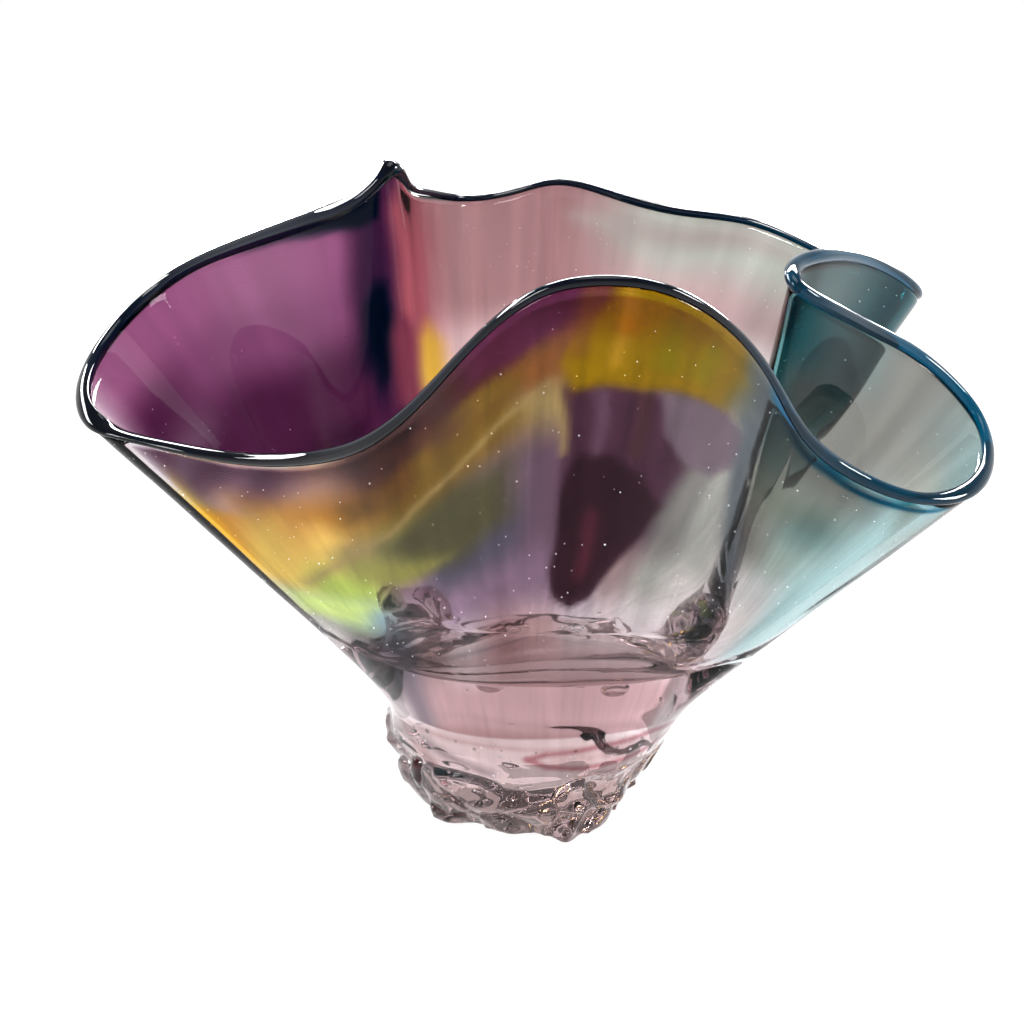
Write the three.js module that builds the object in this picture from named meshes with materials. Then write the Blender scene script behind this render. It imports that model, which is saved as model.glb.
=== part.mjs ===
// A hand-blown art glass vase: a wide handkerchief bowl with two long lobes, two short ones and four
// folds, a dark thread of glass round its lip, and a heavy clear foot with lumps of glass set round it.
// Millimetres, +Z up, -Y is the front. The origin is the centre of the ground face under the foot.
import * as THREE from "three";

// ---------------------------------------------------------------- driving dimensions
const GAP = 0.3; // clearance left between pieces that are fused on the real vase
const WALL = 4; // bowl wall, casing and colour together
const COLOUR_DEPTH = 1.2; // thickness of the colour laid over the casing
const COLOUR_GAP = 0.6; // wider, because the two follow tight folds in flat facets
const RING_RADIUS = 43; // where the bowl springs from the foot
const RING_HEIGHT = 35;
const JOINT_HEIGHT = 33; // flat joint between the bowl's base and the foot
const JOINT_RADIUS = 41;
const FLOOR_RADIUS = 33; // inside floor of the bowl
const FLOOR_HEIGHT = 46;
const LIP_WIDTH = 6; // section of the thread wrapped round the lip
const LIP_HEIGHT = 5;
const COLLAR_BOTTOM = 20; // smooth band of the foot, above the lumps
const COLLAR_INNER = 34;
const ROW_HEIGHT = 10; // height of each row of lumps
const COLUMNS_PER_POINT = 2; // mesh columns between two points of the rim
const WALL_ROWS = [0, 0.12, 0.26, 0.5, 0.75];
const INSIDE_ROWS = WALL_ROWS.slice(2); // the inside wall starts above the thick base
const SECTIONS_ROUND_FOOT = 48; // mesh columns round the collar and the core

// ---------------------------------------------------------------- the rim
// Middle of the lip, anticlockwise seen from above, starting at the crest of the left-back fold.
const RIM = [
  // left-back fold, then out along the far side of the left lobe
  [-42, 27, 177],
  [-48, 25, 171],
  [-62, 32, 162],
  [-91, 58, 146],
  [-114, 73, 131],
  [-129, 65, 118],
  // tip of the left lobe, and back along its near side
  [-134, 39, 109],
  [-127, 21, 104],
  [-108, 12, 101],
  [-82, -3, 102],
  [-61, -18, 108],
  [-45, -32, 118],
  [-30, -43, 134],
  // front crest
  [-15, -55, 154],
  [-1, -60, 166],
  [13, -62, 169.5],
  [28, -59, 167],
  [43, -50, 157],
  [58, -34, 137],
  // near side and tip of the right lobe
  [70, -22, 116],
  [85, -15, 102],
  [103, -12, 94],
  [119, -2, 92],
  [129, 18, 94.5],
  [128, 36, 102],
  [113, 39, 117],
  [94, 26, 131],
  // narrow pleat between the right lobe and the back-right one
  [83, 14, 139.5],
  [75, 6.5, 145.5],
  [70, 5.5, 149.5],
  [69.5, 12, 151.5],
  [73, 21, 152],
  [80, 31, 151],
  [94, 53, 144.5],
  // back-right lobe
  [108, 70, 135],
  [117, 81, 126],
  [114, 93, 123],
  [104, 98, 127],
  [88, 92, 136],
  [64, 78, 149],
  [43, 70, 154],
  // low back crest, then the short back-left lobe
  [23, 61, 161],
  [6, 58, 166],
  [-6, 60, 163],
  [-20, 63, 160],
  [-32, 49, 165],
  [-38, 35, 171],
];
// Where the wall under a rim point springs from the foot ring: [rim point, angle in degrees].
const SPRING_ANGLES = [
  [0, 150],
  [6, 185],
  [15, 280],
  [23, 335],
  [29.5, 366],
  [36, 392],
  [42, 448],
  [47, 510],
];
// The two tight folds open out towards the foot: [rim point at the crest, rim points each side].
const TIGHT_FOLDS = [
  [29.5, 5],
  [0.3, 4],
];
const COLUMNS = RIM.length * COLUMNS_PER_POINT;
const rimCurve = new THREE.CatmullRomCurve3(
  RIM.map((p) => new THREE.Vector3(...p)),
  true,
  "centripetal",
);

// Angle on the foot ring below a place on the rim, which is counted in rim points.
function springAngle(place) {
  const turns = Math.floor(place / RIM.length);
  const local = place - turns * RIM.length;
  const i = SPRING_ANGLES.findIndex(([p]) => p > local);
  const [p0, a0] = SPRING_ANGLES[i - 1];
  const [p1, a1] = SPRING_ANGLES[i];
  return a0 + ((a1 - a0) * (local - p0)) / (p1 - p0) + 360 * turns;
}

// Places up to reach each side of a place on the rim, with bell-shaped weights that add up to 1.
function neighbours(place, reach) {
  const steps = 8;
  return Array.from({ length: 2 * steps + 1 }, (_, i) => {
    const k = i - steps;
    const weight = (1 + Math.cos((Math.PI * k) / (steps + 1))) / (2 * steps + 2);
    return [place + (reach * k) / steps, weight];
  });
}

// The spring angle in radians, averaged over the neighbouring rim so that the wall has no creases.
function smoothAngle(place) {
  const reach = 2;
  const terms = neighbours(place, reach).map(([p, weight]) => weight * springAngle(p));
  return THREE.MathUtils.degToRad(terms.reduce((total, term) => total + term, 0));
}

function rimPoint(place) {
  return rimCurve.getPoint(THREE.MathUtils.euclideanModulo(place / RIM.length, 1));
}

// How far a place is inside a tight fold, from 0 outside it to 1 at its crest.
function foldShare(place) {
  const half = RIM.length / 2;
  const shares = TIGHT_FOLDS.map(([crest, reach]) => {
    const away = THREE.MathUtils.euclideanModulo(place - crest + half, RIM.length) - half;
    return 1 - THREE.MathUtils.smoothstep(Math.abs(away), 0, reach);
  });
  return Math.max(...shares);
}

// ---------------------------------------------------------------- the bowl's wall
function springPoint(place) {
  const angle = smoothAngle(place);
  return new THREE.Vector3(
    RING_RADIUS * Math.cos(angle),
    RING_RADIUS * Math.sin(angle),
    RING_HEIGHT,
  );
}

// Middle surface of the wall, rise running from 0 at the foot ring to 1 at the rim: straight lines,
// bent only in the tight folds, which follow a smoothed rim lower down.
function wallMiddle(place, rise) {
  const rim = rimPoint(place);
  const reach = 4;
  const share = foldShare(place) * (1 - rise);
  if (share > 0) {
    const relaxed = new THREE.Vector3();
    neighbours(place, reach).forEach(([p, weight]) => relaxed.addScaledVector(rimPoint(p), weight));
    rim.lerp(relaxed, share);
  }
  return springPoint(place).lerp(rim, rise);
}

// Direction up the wall.
function wallUp(place, rise) {
  const step = 0.02;
  const high = Math.min(rise + step, 1);
  return wallMiddle(place, high).sub(wallMiddle(place, high - step)).normalize();
}

// Outward normal of the wall's middle surface.
function wallNormal(place, rise) {
  const step = 0.2;
  const along = wallMiddle(place + step, rise).sub(wallMiddle(place - step, rise));
  return along.cross(wallUp(place, rise)).normalize();
}

// A point of the wall, offset outwards from its middle surface.
function wallPoint(place, rise, offset) {
  const point = wallMiddle(place, rise).addScaledVector(wallNormal(place, rise), offset);
  point.z = Math.max(point.z, JOINT_HEIGHT);
  return point;
}

// How far up the wall runs before it meets the lip thread.
function topRise(place) {
  return 1 - (LIP_HEIGHT / 2 + GAP) / springPoint(place).distanceTo(rimPoint(place));
}

// ---------------------------------------------------------------- mesh building
// A closed mesh from points and triangles, with a plain material.
function piece(name, points, triangles, look) {
  const geometry = new THREE.BufferGeometry();
  geometry.setAttribute(
    "position",
    new THREE.Float32BufferAttribute(points.flatMap((p) => [p.x, p.y, p.z]), 3),
  );
  geometry.setIndex(triangles);
  geometry.computeVertexNormals();
  return mesh(name, geometry, look);
}

function mesh(name, geometry, look) {
  const made = new THREE.Mesh(geometry, new THREE.MeshStandardMaterial({ metalness: 0, ...look }));
  made.name = name;
  return made;
}

// Triangles between the closed rings of points number a and b, each of count points.
function band(a, b, count) {
  const triangles = [];
  for (let i = 0; i < count; i++) {
    const next = (i + 1) % count;
    triangles.push(a * count + i, a * count + next, b * count + next);
    triangles.push(a * count + i, b * count + next, b * count + i);
  }
  return triangles;
}

// A solid bounded by closed rings of points from bottom to top, with a flat cap at each end.
function ringSolid(name, rings, look) {
  const count = rings[0].length;
  const points = rings.flat();
  const triangles = rings.slice(1).flatMap((ring, i) => band(i, i + 1, count));
  for (const [ring, isTop] of [[0, false], [rings.length - 1, true]]) {
    const centre = new THREE.Vector3();
    rings[ring].forEach((p) => centre.addScaledVector(p, 1 / count));
    const c = points.push(centre) - 1;
    for (let i = 0; i < count; i++) {
      const [a, b] = [ring * count + i, ring * count + ((i + 1) % count)];
      triangles.push(...(isTop ? [c, a, b] : [c, b, a]));
    }
  }
  return piece(name, points, triangles, look);
}

// A solid that goes round a ring: its section's corners, one ring of points each, joined in a loop.
function loopSolid(name, rings, look) {
  const count = rings[0].length;
  const triangles = rings.flatMap((ring, i) => band(i, (i + 1) % rings.length, count));
  return piece(name, rings.flat(), triangles, look);
}

const columns = Array.from({ length: COLUMNS }, (_, k) => k / COLUMNS_PER_POINT);

function circle(radius, height) {
  return columns.map((place) => {
    const angle = smoothAngle(place);
    return new THREE.Vector3(radius * Math.cos(angle), radius * Math.sin(angle), height);
  });
}

// ---------------------------------------------------------------- casing and lip
// The casing is the blown bubble of clear glass: thick base, flat inside floor, thin wall.
function bowlCasing() {
  const outside = WALL / 2 - COLOUR_DEPTH - COLOUR_GAP;
  const inside = -WALL / 2;
  const row = (rise, offset) => columns.map((place) => wallPoint(place, rise, offset));
  const top = (offset) => columns.map((place) => wallPoint(place, topRise(place), offset));
  return ringSolid(
    "bowl_casing",
    [
      circle(JOINT_RADIUS, JOINT_HEIGHT),
      ...WALL_ROWS.map((rise) => row(rise, outside)),
      top(outside),
      top(inside),
      ...INSIDE_ROWS.toReversed().map((rise) => row(rise, inside)),
      circle(FLOOR_RADIUS, FLOOR_HEIGHT),
    ],
    { color: 0xd9d3da, roughness: 0.05 },
  );
}

// A round-edged thread of dark glass laid along the whole lip.
function lipWrap() {
  const corners = 8;
  const rings = [];
  for (let corner = 0; corner < corners; corner++) {
    const turn = (2 * Math.PI * (corner + 0.5)) / corners;
    rings.push(
      columns.map((place) => {
        return rimPoint(place)
          .addScaledVector(wallNormal(place, 1), (LIP_WIDTH / 2) * Math.cos(turn))
          .addScaledVector(wallUp(place, 1), (LIP_HEIGHT / 2) * Math.sin(turn));
      }),
    );
  }
  return loopSolid("lip_wrap", rings, { color: 0x06222f, roughness: 0.05 });
}

// ---------------------------------------------------------------- colour over the casing
// The amber streak climbs from the left lobe to the front crest: where it starts and ends along the
// rim, where the amethyst above it ends, and the rise of its two edges at their start and end.
const AMBER_START = 5.5;
const AMBER_END = 18;
const AMETHYST_END = 13;
const AMBER_TOP_RISES = [0.62, 0.82];
const AMBER_BOTTOM_RISES = [0.3, 0.7];
const SEAM_PLACE = 0.02; // seam at each side of a field of colour, in rim points
const SEAM_RISE = 0.004; // seam at its sloping lower or upper edge, as a share of the wall's height

// A rise that goes smoothly from the first to the second of two rises between two places.
function climb(place, from, to, [low, high]) {
  return THREE.MathUtils.lerp(low, high, THREE.MathUtils.smoothstep(place, from, to));
}

function amberTop(place) {
  return climb(place, AMBER_START, AMETHYST_END, AMBER_TOP_RISES);
}

function amberBottom(place) {
  return climb(place, AMBER_START, AMBER_END, AMBER_BOTTOM_RISES);
}

// One field of colour: a slab on the casing from one place on the rim to another, between two heights.
function overlay(name, from, to, bottomRise, highRise, color) {
  const steps = Math.round((to - from) * COLUMNS_PER_POINT);
  const places = Array.from({ length: steps + 1 }, (_, k) => from + k / COLUMNS_PER_POINT);
  places[0] += SEAM_PLACE;
  places[steps] -= SEAM_PLACE;
  const rows = WALL_ROWS.length;
  const points = [];
  for (const offset of [WALL / 2, WALL / 2 - COLOUR_DEPTH]) {
    for (const place of places) {
      const low = bottomRise ? bottomRise(place) + SEAM_RISE : 0;
      const high = highRise ? highRise(place) - SEAM_RISE : topRise(place);
      for (let row = 0; row <= rows; row++) {
        const step = bottomRise || highRise || row === rows ? row / rows : WALL_ROWS[row] / high;
        points.push(wallPoint(place, low + (high - low) * step, offset));
      }
    }
  }
  const stride = rows + 1;
  const sheet = places.length * stride;
  const triangles = [];
  const quad = (a, b, c, d) => triangles.push(a, b, c, a, c, d);
  for (let i = 0; i + 1 < places.length; i++) {
    for (let row = 0; row < rows; row++) {
      const a = i * stride + row;
      quad(a, a + stride, a + stride + 1, a + 1);
      quad(sheet + a, sheet + a + 1, sheet + a + stride + 1, sheet + a + stride);
    }
    const low = i * stride;
    quad(low, sheet + low, sheet + low + stride, low + stride);
    const high = low + rows;
    quad(high, high + stride, sheet + high + stride, sheet + high);
  }
  for (let row = 0; row < rows; row++) {
    quad(row, row + 1, sheet + row + 1, sheet + row);
    const last = (places.length - 1) * stride + row;
    quad(last, sheet + last, sheet + last + 1, last + 1);
  }
  return piece(name, points, triangles, { color, roughness: 0.06 });
}

function overlays() {
  return [
    overlay("amethyst_overlay", AMBER_START, AMETHYST_END, amberTop, null, 0x6d3e63),
    overlay("left_lobe_overlay", 0.5, AMBER_START, null, null, 0x5a2c55),
    overlay("amber_overlay", AMBER_START, AMETHYST_END, amberBottom, amberTop, 0xd9a01f),
    overlay("crest_overlay", AMETHYST_END, AMBER_END, amberBottom, null, 0xb9a02a),
    overlay("plum_overlay", AMBER_START, AMBER_END, null, amberBottom, 0x6a5a78),
    overlay("teal_overlay", AMBER_END, 30, null, null, 0x5f8a8c),
    overlay("sea_green_overlay", 30, 38.5, null, null, 0x6f9793),
    overlay("smoke_overlay", 38.5, 45, null, null, 0x96797b),
    overlay("rose_overlay", 45, 47.5, null, null, 0x9a4a5c),
  ];
}

// ---------------------------------------------------------------- the foot
// Radii of the smooth collar at its bottom edge, every 30 degrees from +X: it leans in on the right.
const COLLAR_BOTTOM_RADII = [37.5, 38, 39, 40, 41, 42.5, 43.5, 43, 41.5, 41, 40, 38.5];

// Closed smooth outline through radii that are evenly spaced in angle.
function outline(radii, height) {
  const curve = new THREE.CatmullRomCurve3(
    radii.map((radius, i) => {
      const angle = (2 * Math.PI * i) / radii.length;
      return new THREE.Vector3(radius * Math.cos(angle), radius * Math.sin(angle), height);
    }),
    true,
  );
  return Array.from({ length: SECTIONS_ROUND_FOOT }, (_, k) => {
    return curve.getPoint(k / SECTIONS_ROUND_FOOT);
  });
}

function collar() {
  const bottom = COLLAR_BOTTOM + GAP / 2;
  const top = JOINT_HEIGHT - GAP;
  const bulge = 1;
  const bevel = 1;
  const inner = COLLAR_BOTTOM_RADII.map(() => COLLAR_INNER);
  const middle = COLLAR_BOTTOM_RADII.map((r) => (r + RING_RADIUS) / 2 + bulge);
  const shoulder = COLLAR_BOTTOM_RADII.map(() => RING_RADIUS);
  return loopSolid(
    "foot_collar",
    [
      outline(COLLAR_BOTTOM_RADII, bottom),
      outline(middle, (bottom + top) / 2),
      outline(shoulder, top - bevel),
      outline(shoulder.map((r) => r - bevel), top),
      outline(inner, top),
      outline(inner, bottom),
    ],
    { color: 0xe3d3d4, roughness: 0.05 },
  );
}

// Inner radius of each row of lumps, and how far the middle of a lump's flat back comes inside it.
const ROW_INNER = [25, 28];
const BACK_SAG = 1.8;

function core() {
  const [low, high] = ROW_INNER.map((radius) => radius - BACK_SAG);
  const under = COLLAR_BOTTOM + GAP / 2;
  const neck = COLLAR_INNER - 2 * GAP;
  const profile = [
    [0, 0],
    [low, 0],
    [low, ROW_HEIGHT],
    [high, ROW_HEIGHT],
    [high, under],
    [neck, under],
    [neck, JOINT_HEIGHT - GAP],
    [0, JOINT_HEIGHT - GAP],
  ].map(([r, z]) => new THREE.Vector2(r, z));
  const geometry = new THREE.LatheGeometry(profile, SECTIONS_ROUND_FOOT);
  geometry.rotateX(Math.PI / 2);
  return mesh("foot_core", geometry, { color: 0xdcbcc2, roughness: 0.05 });
}

// Lumps of glass round the foot: [start angle, end angle, reach at the bottom, reach at the top].
const LOWER_LUMPS = [
  [-15, 20, 29, 33],
  [20, 58, 31, 35],
  [58, 95, 33, 37],
  [95, 133, 34, 37],
  [133, 170, 34, 38],
  [170, 206, 35, 42],
  [218, 236, 40, 42],
  [244, 270, 35, 39],
  [270, 294, 42, 40],
  [294, 318, 34, 37],
  [318, 345, 29, 35],
];
const UPPER_LUMPS = [
  [-12, 17, 33, 37],
  [17, 48, 35, 38],
  [48, 80, 37, 39],
  [80, 112, 38, 40],
  [112, 144, 39, 41],
  [144, 176, 40, 42],
  [176, 205, 44, 43],
  [219, 243, 42, 40],
  [243, 266, 39, 40],
  [266, 292, 41, 40],
  [292, 320, 38, 39],
  [320, 348, 35, 37],
];
const LEANS = [0.35, 0.7, 0.55, 0.25, 0.6]; // where a lump's outer point lies across its face
// Chips of garnet glass caught between the lumps: [row, start angle, end angle, reach].
const GARNETS = [
  [1, 205, 219, 41],
  [0, 206, 218, 38],
  [0, 236, 244, 36],
];

// A rough block between two angles and two heights, its outer face knapped to a point off its middle.
function lump(name, start, end, inner, reach, low, high, lean, look) {
  const margin = THREE.MathUtils.radToDeg(GAP / inner);
  const at = (degrees, radius, z) => {
    const angle = THREE.MathUtils.degToRad(degrees);
    return new THREE.Vector3(radius * Math.cos(angle), radius * Math.sin(angle), z);
  };
  const [a, b] = [start + margin / 2, end - margin / 2];
  const bevel = 1.2;
  const points = [
    at(a, inner, low), at(b, inner, low), at(b, inner, high), at(a, inner, high),
    at(a, reach[0] - bevel, low), at(b, reach[0], low),
    at(b, reach[1] - bevel, high), at(a, reach[1], high),
    at(a + (b - a) * lean, Math.max(...reach) + bevel, low + (high - low) * (1 - lean)),
  ];
  const triangles = [
    0, 3, 2, 0, 2, 1, 4, 0, 1, 4, 1, 5, 3, 7, 6, 3, 6, 2,
    0, 4, 7, 0, 7, 3, 1, 2, 6, 1, 6, 5, 4, 5, 8, 5, 6, 8, 6, 7, 8, 7, 4, 8,
  ];
  return piece(name, points, triangles, look);
}

function lumps() {
  const look = { color: 0xe6d6d8, roughness: 0.08 };
  const rows = [LOWER_LUMPS, UPPER_LUMPS];
  const names = ["lower_lump", "upper_lump"];
  const span = (row) => [row * ROW_HEIGHT + (row ? GAP / 2 : 0), (row + 1) * ROW_HEIGHT - GAP / 2];
  const clear = rows.flatMap((row, r) =>
    row.map(([start, end, low, high], i) => {
      const name = `${names[r]}_${String(i + 1).padStart(2, "0")}`;
      const lean = LEANS[(i + r) % LEANS.length];
      return lump(name, start, end, ROW_INNER[r], [low, high], ...span(r), lean, look);
    }),
  );
  const red = GARNETS.map(([r, start, end, reach], i) =>
    lump(`garnet_chip_${i + 1}`, start, end, ROW_INNER[r], [reach, reach], ...span(r), 0.5, {
      color: 0x5a0f22,
      roughness: 0.08,
    }),
  );
  return [...clear, ...red];
}

// ---------------------------------------------------------------- the whole vase
const vase = new THREE.Group();
vase.add(bowlCasing(), lipWrap(), ...overlays(), collar(), core(), ...lumps());

export default vase;
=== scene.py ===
"""Looks of the hand-blown art glass vase, in the frame of its CAD model. Metres, +Z up, front -Y."""

import math

import bmesh
import bpy
import numpy as np
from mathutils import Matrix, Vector, noise


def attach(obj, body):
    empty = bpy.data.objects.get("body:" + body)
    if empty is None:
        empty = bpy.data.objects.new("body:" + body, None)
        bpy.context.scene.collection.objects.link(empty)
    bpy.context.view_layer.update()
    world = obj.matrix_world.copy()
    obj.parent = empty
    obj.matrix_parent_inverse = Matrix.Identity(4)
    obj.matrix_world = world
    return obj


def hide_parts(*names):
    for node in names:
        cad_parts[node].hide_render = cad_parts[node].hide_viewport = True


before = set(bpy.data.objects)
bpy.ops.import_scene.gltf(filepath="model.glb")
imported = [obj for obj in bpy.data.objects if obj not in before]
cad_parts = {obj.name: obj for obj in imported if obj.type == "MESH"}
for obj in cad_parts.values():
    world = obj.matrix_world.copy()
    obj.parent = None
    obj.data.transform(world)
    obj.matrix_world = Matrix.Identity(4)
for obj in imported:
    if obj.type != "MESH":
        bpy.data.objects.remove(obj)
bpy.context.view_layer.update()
MM = 0.001

# ------------------------------------------------------------------ driving dimensions, as in the CAD
WALL = 4 * MM
RING_RADIUS = 43 * MM
RING_HEIGHT = 35 * MM
JOINT_HEIGHT = 33 * MM
LIP_WIDTH = 6 * MM
LIP_HEIGHT = 5 * MM
COLLAR_BOTTOM = 20 * MM

# Middle of the lip in millimetres, anticlockwise from the crest of the left-back fold.
RIM = [
    # left-back fold, then out along the far side of the left lobe
    (-42, 27, 177), (-48, 25, 171), (-62, 32, 162), (-91, 58, 146), (-114, 73, 131), (-129, 65, 118),
    # tip of the left lobe, and back along its near side
    (-134, 39, 109), (-127, 21, 104), (-108, 12, 101), (-82, -3, 102), (-61, -18, 108),
    (-45, -32, 118), (-30, -43, 134),
    # front crest
    (-15, -55, 154), (-1, -60, 166), (13, -62, 169.5), (28, -59, 167), (43, -50, 157), (58, -34, 137),
    # near side and tip of the right lobe
    (70, -22, 116), (85, -15, 102), (103, -12, 94), (119, -2, 92), (129, 18, 94.5), (128, 36, 102),
    (113, 39, 117), (94, 26, 131),
    # narrow pleat between the right lobe and the back-right one
    (83, 14, 139.5), (75, 6.5, 145.5), (70, 5.5, 149.5), (69.5, 12, 151.5), (73, 21, 152),
    (80, 31, 151), (94, 53, 144.5),
    # back-right lobe
    (108, 70, 135), (117, 81, 126), (114, 93, 123), (104, 98, 127), (88, 92, 136), (64, 78, 149),
    (43, 70, 154),
    # low back crest, then the short back-left lobe
    (23, 61, 161), (6, 58, 166), (-6, 60, 163), (-20, 63, 160), (-32, 49, 165), (-38, 35, 171),
]
POINTS = len(RIM)
# Where the wall under a rim point springs from the foot ring: (rim point, angle in degrees).
SPRING_ANGLES = [(0, 150), (6, 185), (15, 280), (23, 335), (29.5, 366), (36, 392), (42, 448), (47, 510)]
# The two tight folds open out towards the foot: (rim point at the crest, rim points each side).
TIGHT_FOLDS = [(29.5, 5), (0.3, 4)]
# The next two aren't as in the CAD, where the folds open evenly all the way down, at full thickness.
# Here they are relaxed in full from this far below the rim, as a share of the wall's height.
FOLD_OPENING = 0.65
# Share of the wall's thickness that they lose at the rim.
FOLD_THINNING = 0.7


def smoothstep(x, low=0.0, high=1.0):
    t = np.clip((np.asarray(x, float) - low) / (high - low), 0, 1)
    return t * t * (3 - 2 * t)


# ------------------------------------------------------------------ the wall's middle surface
def periodic_spline(points):
    """A closed curve with smooth curvature through points, as a function of place (0 to len(points))."""
    p = np.array(points, float)
    n = len(p)
    after = np.roll(p, -1, axis=0)
    h = np.linalg.norm(after - p, axis=1) ** 0.5
    before_h = np.roll(h, 1)
    slope = (after - p) / h[:, None]
    system = np.zeros((n, n))
    for i in range(n):
        system[i, i - 1] += before_h[i]
        system[i, i] += 2 * (before_h[i] + h[i])
        system[i, (i + 1) % n] += h[i]
    bend = np.linalg.solve(system, 6 * (slope - np.roll(slope, 1, axis=0)))

    def at(place):
        place = np.asarray(place, float) % n
        i = np.minimum(place.astype(int), n - 1)
        j = (i + 1) % n
        step = h[i][..., None]
        b = (place - i)[..., None]
        a = 1 - b
        curve = (a**3 - a) * bend[i] + (b**3 - b) * bend[j]
        return a * p[i] + b * p[j] + curve * step**2 / 6

    return at


rim_curve = periodic_spline(np.array(RIM) * MM)


def neighbours(reach, steps=8):
    """Offsets up to reach each side, with bell-shaped weights that add up to 1."""
    k = np.arange(-steps, steps + 1)
    return reach * k / steps, (1 + np.cos(math.pi * k / (steps + 1))) / (2 * steps + 2)


def spring_angle(place):
    """Angle on the foot ring below a place on the rim, averaged so that the wall has no creases."""
    at, degrees = zip(*SPRING_ANGLES)
    total = 0
    for offset, weight in zip(*neighbours(2)):
        moved = np.asarray(place, float) + offset
        turns = np.floor(moved / POINTS)
        total = total + weight * (np.interp(moved - turns * POINTS, at, degrees) + 360 * turns)
    return np.radians(total)


def fold_share(place):
    """How far a place is inside a tight fold, from 0 outside it to 1 at its crest."""
    half = POINTS / 2
    shares = []
    for crest, reach in TIGHT_FOLDS:
        away = np.abs((place - crest + half) % POINTS - half)
        shares.append(1 - smoothstep(away, 0, reach))
    return np.maximum(*shares)


def thinned(place, rise):
    """Share of the wall's full thickness that is left, which is less in the tight folds."""
    return 1 - FOLD_THINNING * fold_share(place) * rise


def wall_middle(place, rise):
    """Straight lines from the foot ring (rise 0) to the rim (rise 1), bent only in the tight folds."""
    place, rise = np.broadcast_arrays(np.asarray(place, float), np.asarray(rise, float))
    rim = rim_curve(place)
    relaxed = sum(w * rim_curve(place + o) for o, w in zip(*neighbours(4)))
    share = (fold_share(place) * np.minimum(1, (1 - rise) / FOLD_OPENING))[..., None]
    rim = rim + (relaxed - rim) * share
    angle = spring_angle(place)
    spring = np.stack([RING_RADIUS * np.cos(angle), RING_RADIUS * np.sin(angle), 0 * angle + RING_HEIGHT], -1)
    return spring + (rim - spring) * rise[..., None]


def unit(v):
    return v / np.linalg.norm(v, axis=-1, keepdims=True)


def wall_up(place, rise):
    step = 0.02
    high = np.minimum(rise + step, 1)
    return unit(wall_middle(place, high) - wall_middle(place, high - step))


def wall_normal(place, rise):
    step = 0.12
    along = wall_middle(place + step, rise) - wall_middle(place - step, rise)
    return unit(np.cross(along, wall_up(place, rise)))


# ------------------------------------------------------------------ mesh helpers
def make_object(name, points, faces, material, smooth=True):
    mesh = bpy.data.meshes.new(name)
    mesh.from_pydata([tuple(p) for p in points], [], faces)
    mesh.validate()
    if smooth:
        mesh.polygons.foreach_set("use_smooth", [True] * len(mesh.polygons))
    made = bpy.data.objects.new(name, mesh)
    bpy.context.scene.collection.objects.link(made)
    mesh.materials.append(material)
    return made


def ring_faces(rows, count, closed=False):
    """Quads between rings of count points numbered row by row; closed joins the last ring to the first."""
    i = np.arange(count)
    j = (i + 1) % count
    faces = []
    for row in range(rows if closed else rows - 1):
        a, b = row * count, ((row + 1) % rows) * count
        faces += np.stack([a + i, a + j, b + j, b + i], -1).tolist()
    return faces


def cap_faces(ring_start, count, centre, up):
    """Triangles that close a ring of count points with a centre point."""
    i = np.arange(count)
    j = (i + 1) % count
    fan = np.full(count, centre)
    order = (fan, ring_start + i, ring_start + j) if up else (fan, ring_start + j, ring_start + i)
    return np.stack(order, -1).tolist()


def ripple(points, scale, seed):
    """Smooth noise from -1 to 1 at points, with features about scale metres across."""
    shift = Vector((seed * 17.3, seed * 5.1, seed * 9.7))
    return np.array([noise.noise(Vector(p) / scale + shift) for p in points])


def ball(centre, radii, detail, inward=False):
    """Points and faces of a small closed ball; inward makes it an air bubble in glass."""
    made = bmesh.new()
    bmesh.ops.create_icosphere(made, subdivisions=detail, radius=1)
    points = np.array([v.co for v in made.verts]) * np.array(radii) + np.array(centre)
    faces = [[v.index for v in f.verts] for f in made.faces]
    made.free()
    if inward:
        faces = [face[::-1] for face in faces]
    return points, faces


def joined(parts):
    """Points and faces of several meshes as one."""
    points, faces, start = [], [], 0
    for part_points, part_faces in parts:
        points.append(part_points)
        faces += [[i + start for i in face] for face in part_faces]
        start += len(part_points)
    return np.vstack(points), faces


def store_tint(made, colours):
    attribute = made.data.color_attributes.new("tint", "FLOAT_COLOR", "POINT")
    rgba = np.hstack([colours, np.ones((len(colours), 1))])
    attribute.data.foreach_set("color", rgba.ravel())


def store_value(made, name, values):
    attribute = made.data.attributes.new(name, "FLOAT", "POINT")
    attribute.data.foreach_set("value", np.asarray(values, float))


def store_vector(made, name, vectors):
    attribute = made.data.attributes.new(name, "FLOAT_VECTOR", "POINT")
    attribute.data.foreach_set("vector", np.asarray(vectors, float).ravel())


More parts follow.
